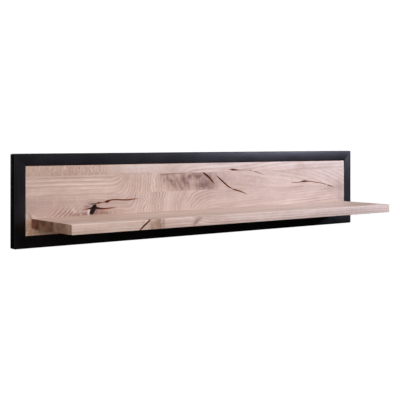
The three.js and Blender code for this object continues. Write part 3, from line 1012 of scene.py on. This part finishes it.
def mitres():
    """For each side of the frame, the planes it lies between: (point, normal into the side)."""
    low, high = FRAME_LOW, FRAME_HIGH
    bottom_left, bottom_right = (low.x, 0, low.z), (high.x, 0, low.z)
    top_left, top_right = (low.x, 0, high.z), (high.x, 0, high.z)
    middle = (0, 0, (low.z + high.z) / 2)
    return {
        "top_rail": ((top_left, (1, 0, 1)), (top_right, (-1, 0, 1)), (middle, (0, 0, 1))),
        "bottom_rail": (
            (bottom_left, (1, 0, -1)), (bottom_right, (-1, 0, -1)), (middle, (0, 0, -1)),
        ),
        "left_stile": ((bottom_left, (-1, 0, 1)), (top_left, (-1, 0, -1))),
        "right_stile": ((bottom_right, (1, 0, 1)), (top_right, (1, 0, -1))),
    }


class WALLBOARD_OT_frame(bpy.types.Operator):
    """Makes the four mitred sides of the black frame"""

    bl_idname = "wallboard.frame"
    bl_label = "Frame"

    def execute(self, context):
        ring = frame_ring()
        for side in ("left", "right"):
            combine(ring, hanger_seat(side))
        for x, y, z, head in screw_centres("panel_screw"):
            combine(ring, countersink(x, y, z, head, "panel_screw", FRAME_HIGH.y))
        for x, y, z, _ in screw_centres("hanger_screw"):
            combine(ring, rod("bore", SHANK_HOLES["hanger_screw"], y - HANGER_SCREW_REACH, y, x, z))
        for name in packed("mitre_biscuit"):
            combine(ring, biscuit_seat(name))
        material = lacquer_material()
        half_gap = sizes().mitre_gap / 2
        for side, cuts in mitres().items():
            piece = twin(ring, f"frame_side_{side}")
            for point, normal in cuts:
                keep_beyond(piece, Vector(point) + Vector(normal).normalized() * half_gap, normal)
            finish_piece(piece, material, f"frame_{side}")
        bpy.data.objects.remove(ring)
        return {"FINISHED"}


def bore_for_joints(piece, *prefixes):
    """The holes round the dowels or screws that join the shelf to the panel."""
    for name in packed(*prefixes):
        low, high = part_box(name)
        dowel = name.startswith("shelf_dowel")
        radius = (high.x - low.x) / 2 + DOWEL_SLACK if dowel else SHELF_SCREW_BORE
        back = high.y + BORE_END if dowel else high.y
        combine(piece, rod(
            "bore", radius, low.y - BORE_END, back, (low.x + high.x) / 2, (low.z + high.z) / 2
        ))


# ---------------------------------------------------------------- back panel

# Cracks of the panel: stave number, and points along the crack as (x, height, half width)
CRACKS = (
    (3, ((-453, 118.5, 0.2), (-441, 120, 0.9), (-430, 121, 0.7), (-419, 122.5, 1.7), (-408, 123.2, 0.8),
         (-399, 124.4, 0.9), (-388, 125.6, 2.6), (-377, 129.3, 1.3), (-364, 130.6, 1.3), (-332, 128.3, 1.2),
         (-311, 128, 1.4), (-290, 129.4, 1.0), (-268, 130.2, 0.2))),
    (3, ((-482, 103.6, 0.2), (-466, 105, 0.9), (-452, 106.4, 1.2), (-436, 108.5, 2.0), (-425, 107, 2.2),
         (-413, 104.8, 1.8), (-394, 104, 1.4), (-373, 105, 1.1), (-352, 105.3, 0.2))),
    (3, ((-427, 118.5, 0.3), (-430, 115.5, 2.7), (-434, 110, 4.5), (-438, 103, 3.9), (-443, 96, 4.6),
         (-447, 91, 3.1), (-449, 88, 0.5))),
    (2, ((-17, 207.8, 0.9), (-8, 203, 1.9), (4, 195.5, 2.3), (14, 187.5, 2.1), (24, 178, 1.6),
         (33, 167, 0.5))),
    (2, ((41, 196.5, 0.6), (53, 187.5, 1.4), (69, 175.7, 1.7), (84, 164.5, 1.6), (99, 154.8, 1.4),
         (109, 150.4, 0.9))),
    (3, ((111, 148.8, 0.9), (126, 144.6, 1.5), (146, 139.3, 1.3), (163, 133.8, 1.0), (180, 126.5, 0.2))),
    (1, ((90, 216.2, 0.2), (101, 216, 0.7), (112, 215, 1.9), (124, 214, 1.6), (138, 213, 0.8),
         (158, 212.2, 0.5), (184, 212, 0.5), (193, 211, 0.9), (202, 209.6, 0.6))),
    (2, ((206, 207.8, 0.4), (217, 206, 0.9), (233, 200.7, 0.8), (250, 196, 0.4), (272, 192, 0.15))),
    (2, ((386, 163.4, 0.2), (400, 162, 0.7), (417, 161.6, 0.8), (433, 163.8, 0.9), (446, 165.4, 1.7),
         (458, 165.6, 2.0), (471, 165, 1.2), (496, 163.8, 0.9), (512, 160.8, 1.0), (537, 157.4, 0.9),
         (558, 152.6, 1.0), (566, 150.6, 0.9))),
    (3, ((571, 148.8, 0.9), (583, 146.4, 1.2), (597, 142.4, 0.9), (612, 138.4, 0.2))),
)

# Cracks of the shelf's front, from the top edge down
SHELF_CRACKS = (
    ((-389, 88, 1.3), (-397, 80, 1.7), (-409, 71, 1.9), (-418, 64, 1.6), (-426, 56, 1.2)),
    ((-409, 88, 1.0), (-412, 82, 1.0), (-415, 76, 0.2)),
)


def crack_cutter(points, face_y, widen, squash):
    """A tapering run along a crack, widened from its half widths and then squashed in depth."""
    bpy.ops.object.select_all(action="DESELECT")
    bpy.ops.curve.primitive_bezier_curve_add()
    run = bpy.context.object
    spline = run.data.splines[0]
    spline.bezier_points.add(len(points) - 2)
    for point, (x, up, half) in zip(spline.bezier_points, points):
        point.co = (x * MM, 0, (up + BOARD_FLOOR) * MM)
        point.handle_left_type = point.handle_right_type = "AUTO"
        point.radius = half * widen
    spline.resolution_u = 6
    run.data.dimensions = "3D"
    run.data.bevel_depth = 1 * MM
    run.data.bevel_resolution = 3
    run.data.use_fill_caps = True
    pick(run)
    bpy.ops.object.convert(target="MESH")
    run = bpy.context.object
    run.scale.y = squash
    run.location = (0, face_y, 0)
    settle(run, "crack")
    bpy.ops.object.mode_set(mode="EDIT")
    bpy.ops.mesh.select_all(action="SELECT")
    bpy.ops.mesh.remove_doubles(threshold=1e-6)
    bpy.ops.mesh.normals_make_consistent(inside=False)
    bpy.ops.object.mode_set(mode="OBJECT")
    return run


# How much wider than its drawn points a crack's part is, and how deep for its width
WORN_LIPS = (2.0, 0.2)
OPEN_SPLIT = (1.15, 1.5)


def carve(piece, points, face_y):
    """Cuts a crack: first its shallow worn lips, then the split itself."""
    for widen, squash in (WORN_LIPS, OPEN_SPLIT):
        combine(piece, crack_cutter(points, face_y, widen, squash))


def panel_board(number):
    """One stave of the back panel with its eased edges, its cracks and its holes."""
    s = sizes()
    face = PANEL_LOW.y
    low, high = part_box(f"panel_stave_{number}")
    if number < 4:
        low.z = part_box(f"panel_stave_{number + 1}")[1].z + HAIRLINE
    outer = {1: high.z, 4: low.z}.get(number)
    piece = block(f"panel_board_{number}", low, high)
    at_face = lies_at(1, face)

    def border(a, b):
        at_end = abs(a.x - b.x) < SAME and abs(a.z - b.z) > SAME
        at_side = outer is not None and lies_at(2, outer)(a, b)
        return at_face(a, b) and (at_end or at_side)

    def glue_line(a, b):
        return at_face(a, b) and abs(a.x - b.x) > 0.5 and not border(a, b)

    ease_edges(piece, s.joint_ease, 1, glue_line)
    ease_edges(piece, s.panel_ease, 3, border)
    for stave, points in CRACKS:
        if stave == number:
            carve(piece, points, face)
    if number == 4:
        for x, y, z, head in screw_centres("shelf_screw"):
            combine(piece, countersink(x, y, z, head, "shelf_screw", PANEL_HIGH.y))
        bore_for_joints(piece, "shelf_dowel")
    return piece


class WALLBOARD_OT_panel(bpy.types.Operator):
    """Makes the staves of the oak back panel, with their cracks"""

    bl_idname = "wallboard.panel"
    bl_label = "Back Panel"

    def execute(self, context):
        for number in range(1, 5):
            piece = panel_board(number)
            material = oak_material(f"panel_{number}", PANEL_LOW.y / MM)
            finish_piece(piece, material, f"panel_stave_{number}")
        return {"FINISHED"}


# ---------------------------------------------------------------- shelf


def shelf_board(number):
    """One stave of the shelf, counted from the front, with its eased edges, cracks and holes."""
    s = sizes()
    front = SHELF_LOW.y
    low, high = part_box(f"shelf_stave_{number}")
    behind = PANEL_LOW.y if number == 4 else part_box(f"shelf_stave_{number + 1}")[0].y
    high.y = behind - HAIRLINE
    piece = block(f"shelf_board_{number}", low, high)

    def border(a, b):
        at_end = abs(abs(a.x) - high.x) < SAME and abs(a.x - b.x) < SAME
        level = abs(a.z - b.z) < SAME
        return (at_end and level and abs(a.y - b.y) > SAME) or lies_at(1, front)(a, b)

    def glue_line(a, b):
        return abs(a.x - b.x) > 0.5 and not border(a, b)

    ease_edges(piece, s.joint_ease, 1, glue_line)
    ease_edges(piece, s.board_ease, 4, border)
    if number == 1:
        for points in SHELF_CRACKS:
            carve(piece, points, front)
    if number == 4:
        bore_for_joints(piece, "shelf_dowel", "shelf_screw")
    return piece


class WALLBOARD_OT_shelf(bpy.types.Operator):
    """Makes the staves of the oak shelf"""

    bl_idname = "wallboard.shelf"
    bl_label = "Shelf"

    def execute(self, context):
        for number in range(1, 5):
            piece = shelf_board(number)
            material = oak_material(f"shelf_{number}", SHELF_LOW.y / MM if number == 1 else None)
            finish_piece(piece, material, f"shelf_stave_{number}")
        return {"FINISHED"}


# ---------------------------------------------------------------- fittings


def place_at(piece, place):
    """Moves a piece that was made at the origin, in its mesh."""
    piece.location = place
    settle(piece, piece.name)


def drive_wing(head, turn):
    """One wing of a cross recess in a head of this radius: a thin tapered slot across it."""
    bpy.ops.object.select_all(action="DESELECT")
    bpy.ops.mesh.primitive_cone_add(
        vertices=4, radius1=0.40 * head, radius2=0.62 * head, depth=0.62 * head,
        location=(0, -0.25 * head, 0), rotation=(-math.pi / 2, 0, 0),
    )
    wing = settle(bpy.context.object, "wing")
    wing.rotation_euler = (0, math.radians(45), 0)
    settle(wing, "wing")
    wing.scale = (1, 1, 0.2)
    settle(wing, "wing")
    wing.rotation_euler = (0, turn, 0)
    return settle(wing, "wing")


def flat_head_screw(name, head, shank, length):
    """A countersunk screw whose head is flush with y = 0 and whose point is forwards."""
    cone = head - shank
    point = 2 * shank
    screw = rod(name, shank, -HEAD_RIM - cone, -HEAD_RIM, 0, 0, tip=head)
    extrude_end(screw, 1, HEAD_RIM)
    extrude_end(screw, -1, length - cone - HEAD_RIM - point)
    extrude_end(screw, -1, point, narrow=0.12)
    ease_edges(screw, 0.12 * MM, 2, lies_at(1, 0))
    for turn in (math.radians(45), math.radians(135)):
        combine(screw, drive_wing(head, turn))
    pit = rod("pit", 0.05 * head, -0.75 * head, 0.1 * head, 0, 0, sides=16, tip=0.3 * head)
    return combine(screw, pit)


class WALLBOARD_OT_screws(bpy.types.Operator):
    """Makes one screw of each size and copies it to every place"""

    bl_idname = "wallboard.screws"
    bl_label = "Screws"

    def execute(self, context):
        steel = metal_material("screw_steel", "steel", 0.34)
        for kind, shank in SHANKS.items():
            names = packed(kind)
            low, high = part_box(names[0])
            first = flat_head_screw(f"{kind}_first", (high.x - low.x) / 2, shank, high.y - low.y)
            for name in names:
                low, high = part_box(name)
                piece = twin(first, f"fixed_{name}")
                place_at(piece, ((low.x + high.x) / 2, high.y, (low.z + high.z) / 2))
                finish_piece(piece, steel, name)
            bpy.data.objects.remove(first)
        return {"FINISHED"}


def hanger_plate(name):
    """A keyhole hanger at the origin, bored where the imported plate's own screws are."""
    low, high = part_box(name)
    half = (high - low) / 2
    middle = (low + high) / 2
    past = 1 * MM
    plate = block("plate", -half, half)
    ease_edges(plate, PLATE_CORNER, 8, runs_along_y)
    keyhole = rod("entry", KEY_ENTRY, -5 * past, 5 * past, 0, KEY_LOW, sides=48)
    slot = block("slot", (-KEY_SLOT, -4 * past, KEY_LOW), (KEY_SLOT, 4 * past, KEY_HIGH))
    combine(keyhole, slot, "UNION")
    combine(keyhole, rod("end", KEY_SLOT, -3 * past, 3 * past, 0, KEY_HIGH), "UNION")
    combine(plate, keyhole)
    for x, y, z, head in screw_centres("hanger_screw_left"):
        combine(plate, countersink(
            x - middle.x, y - middle.y, z - middle.z, head, "hanger_screw", half.y
        ))
    for y in (-half.y, half.y):
        ease_edges(plate, PLATE_EASE, 2, lies_at(1, y))
    return plate


class WALLBOARD_OT_hangers(bpy.types.Operator):
    """Makes the keyhole hanger once and copies it to both ends"""

    bl_idname = "wallboard.hangers"
    bl_label = "Hangers"

    def execute(self, context):
        zinc = metal_material("zinc_plate", "zinc", 0.40)
        plate = hanger_plate("hanger_plate_left")
        for side in ("left", "right"):
            low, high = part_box(f"hanger_plate_{side}")
            piece = twin(plate, f"hanger_{side}")
            place_at(piece, (low + high) / 2)
            finish_piece(piece, zinc, f"hanger_plate_{side}")
        bpy.data.objects.remove(plate)
        return {"FINISHED"}


class WALLBOARD_OT_inner_joints(bpy.types.Operator):
    """Dresses the beech dowels and biscuits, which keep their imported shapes"""

    bl_idname = "wallboard.inner_joints"
    bl_label = "Dowels and Biscuits"

    def execute(self, context):
        beech = beech_material()
        for name in packed("mitre_biscuit", "shelf_dowel"):
            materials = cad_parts[name].data.materials
            materials.clear()
            materials.append(beech)
        return {"FINISHED"}


# ---------------------------------------------------------------- stage

CAMERA_LENS = 78.45
CAMERA_PLACE = (-1.7938, -2.3422, 0.0496)
CAMERA_YAW = math.radians(37.32)
CAMERA_SHIFT = -0.1438
FLOOR_LEVEL = -2.4
FLOOR_SIZE = 60

# name: (place, target, size, power in watts, colour)
LIGHTS = {
    "key": ((1.97, -1.70, 0.54), (0.1, 0, -0.15), (0.45, 0.45), 26.5, (0.98, 1.08, 1.35)),
    "front_fill": ((1.2, -3.6, 1.5), (0, 0, -0.1), (1.6, 1.2), 12, (1.0, 1.0, 1.03)),
    "left_fill": ((-2.8, -2.5, 0.9), (0, 0, -0.1), (1.5, 1.5), 55, (1.0, 0.895, 0.80)),
    "top_fill": ((0.2, -1.0, 2.2), (0, -0.05, -0.1), (2.4, 1.2), 36, (1.0, 0.97, 0.95)),
    "under_fill": ((-0.3, -1.3, -1.9), (0, -0.1, -0.1), (2.2, 1.2), 6, (1.0, 0.84, 0.70)),
    "back_fill": ((0.4, 2.9, 0.5), (0, 0, -0.1), (2.6, 1.4), 45, (1.0, 1.0, 1.0)),
}


def area_light(name, place, target, size, power, colour):
    """A soft rectangular light that looks at a target."""
    bpy.ops.object.light_add(type="AREA", location=place)
    lamp = bpy.context.object
    lamp.name = name
    lamp.data.shape = "RECTANGLE"
    lamp.data.size, lamp.data.size_y = size
    lamp.data.energy = power
    lamp.data.color = colour
    towards = Vector(target) - Vector(place)
    lamp.rotation_euler = towards.to_track_quat("-Z", "Y").to_euler()


def white_world():
    """White to the eye, but only a low fill as light."""
    world = bpy.data.worlds.new("studio")
    bpy.context.scene.world = world
    world.use_nodes = True
    net = Net(world.node_tree)
    world.node_tree.nodes.clear()
    fill = net.node("ShaderNodeBackground")
    fill.inputs["Color"].default_value = (0.94, 0.96, 1.0, 1.0)
    fill.inputs["Strength"].default_value = 0.02
    seen = net.node("ShaderNodeBackground")
    seen.inputs["Color"].default_value = (1.0, 1.0, 1.0, 1.0)
    seen.inputs["Strength"].default_value = 1.05
    rays = net.node("ShaderNodeLightPath").outputs["Is Camera Ray"]
    both = net.node("ShaderNodeMixShader")
    net.feed(both.inputs[0], rays)
    net.feed(both.inputs[1], fill.outputs[0])
    net.feed(both.inputs[2], seen.outputs[0])
    net.feed(net.node("ShaderNodeOutputWorld").inputs[0], both.outputs[0])


def floor_material():
    """White to the eye, and dull in the board's own reflections."""
    made, net, surface = new_material("studio_floor")
    seen = net.node("ShaderNodeLightPath").outputs["Is Camera Ray"]
    net.feed(surface.inputs["Base Color"], net.mix(seen, (0.10, 0.10, 0.10), (0.9, 0.9, 0.9)))
    surface.inputs["Roughness"].default_value = 0.9
    surface.inputs["Specular IOR Level"].default_value = 0.0
    surface.inputs["Emission Color"].default_value = (1, 1, 1, 1)
    net.feed(surface.inputs["Emission Strength"], seen)
    return made


class WALLBOARD_OT_stage(bpy.types.Operator):
    """Makes the camera, the floor and the studio light"""

    bl_idname = "wallboard.stage"
    bl_label = "Stage"

    def execute(self, context):
        bpy.ops.object.camera_add(location=CAMERA_PLACE, rotation=(math.pi / 2, 0, -CAMERA_YAW))
        camera = context.object
        camera.data.lens = CAMERA_LENS
        camera.data.sensor_width = 36.0
        camera.data.shift_y = CAMERA_SHIFT
        context.scene.camera = camera
        bpy.ops.mesh.primitive_plane_add(size=FLOOR_SIZE, location=(0, 0, FLOOR_LEVEL))
        floor = context.object
        floor.name = "studio_floor"
        floor.data.materials.append(floor_material())
        white_world()
        for name, settings in LIGHTS.items():
            area_light(name, *settings)
        context.scene.view_settings.view_transform = "Standard"
        return {"FINISHED"}


# ---------------------------------------------------------------- panel and registration


class WALLBOARD_PT_tools(bpy.types.Panel):
    """The wall board's pieces and sizes"""

    bl_idname = "WALLBOARD_PT_tools"
    bl_label = "Wall Board"
    bl_space_type = "VIEW_3D"
    bl_region_type = "UI"
    bl_category = "Wall Board"

    def draw(self, context):
        layout = self.layout
        for operator in PIECE_OPERATORS:
            layout.operator(operator.bl_idname)
        scene = context.scene
        for group, kind in (
            (scene.wall_board_sizes, BoardSizes), (scene.wall_board_colours, BoardColours),
        ):
            box = layout.box()
            for name in kind.__annotations__:
                box.prop(group, name)


PIECE_OPERATORS = (
    WALLBOARD_OT_stage,
    WALLBOARD_OT_frame,
    WALLBOARD_OT_panel,
    WALLBOARD_OT_shelf,
    WALLBOARD_OT_hangers,
    WALLBOARD_OT_screws,
    WALLBOARD_OT_inner_joints,
)
CLASSES = (BoardSizes, BoardColours, *PIECE_OPERATORS, WALLBOARD_PT_tools)


def register():
    for cls in CLASSES:
        bpy.utils.register_class(cls)
    bpy.types.Scene.wall_board_sizes = PointerProperty(type=BoardSizes)
    bpy.types.Scene.wall_board_colours = PointerProperty(type=BoardColours)


def unregister():
    del bpy.types.Scene.wall_board_colours
    del bpy.types.Scene.wall_board_sizes
    for cls in reversed(CLASSES):
        bpy.utils.unregister_class(cls)


def main():
    register()
    bpy.ops.wallboard.stage()
    bpy.ops.wallboard.frame()
    bpy.ops.wallboard.panel()
    bpy.ops.wallboard.shelf()
    bpy.ops.wallboard.hangers()
    bpy.ops.wallboard.screws()
    bpy.ops.wallboard.inner_joints()


if __name__ == "__main__":
    main()
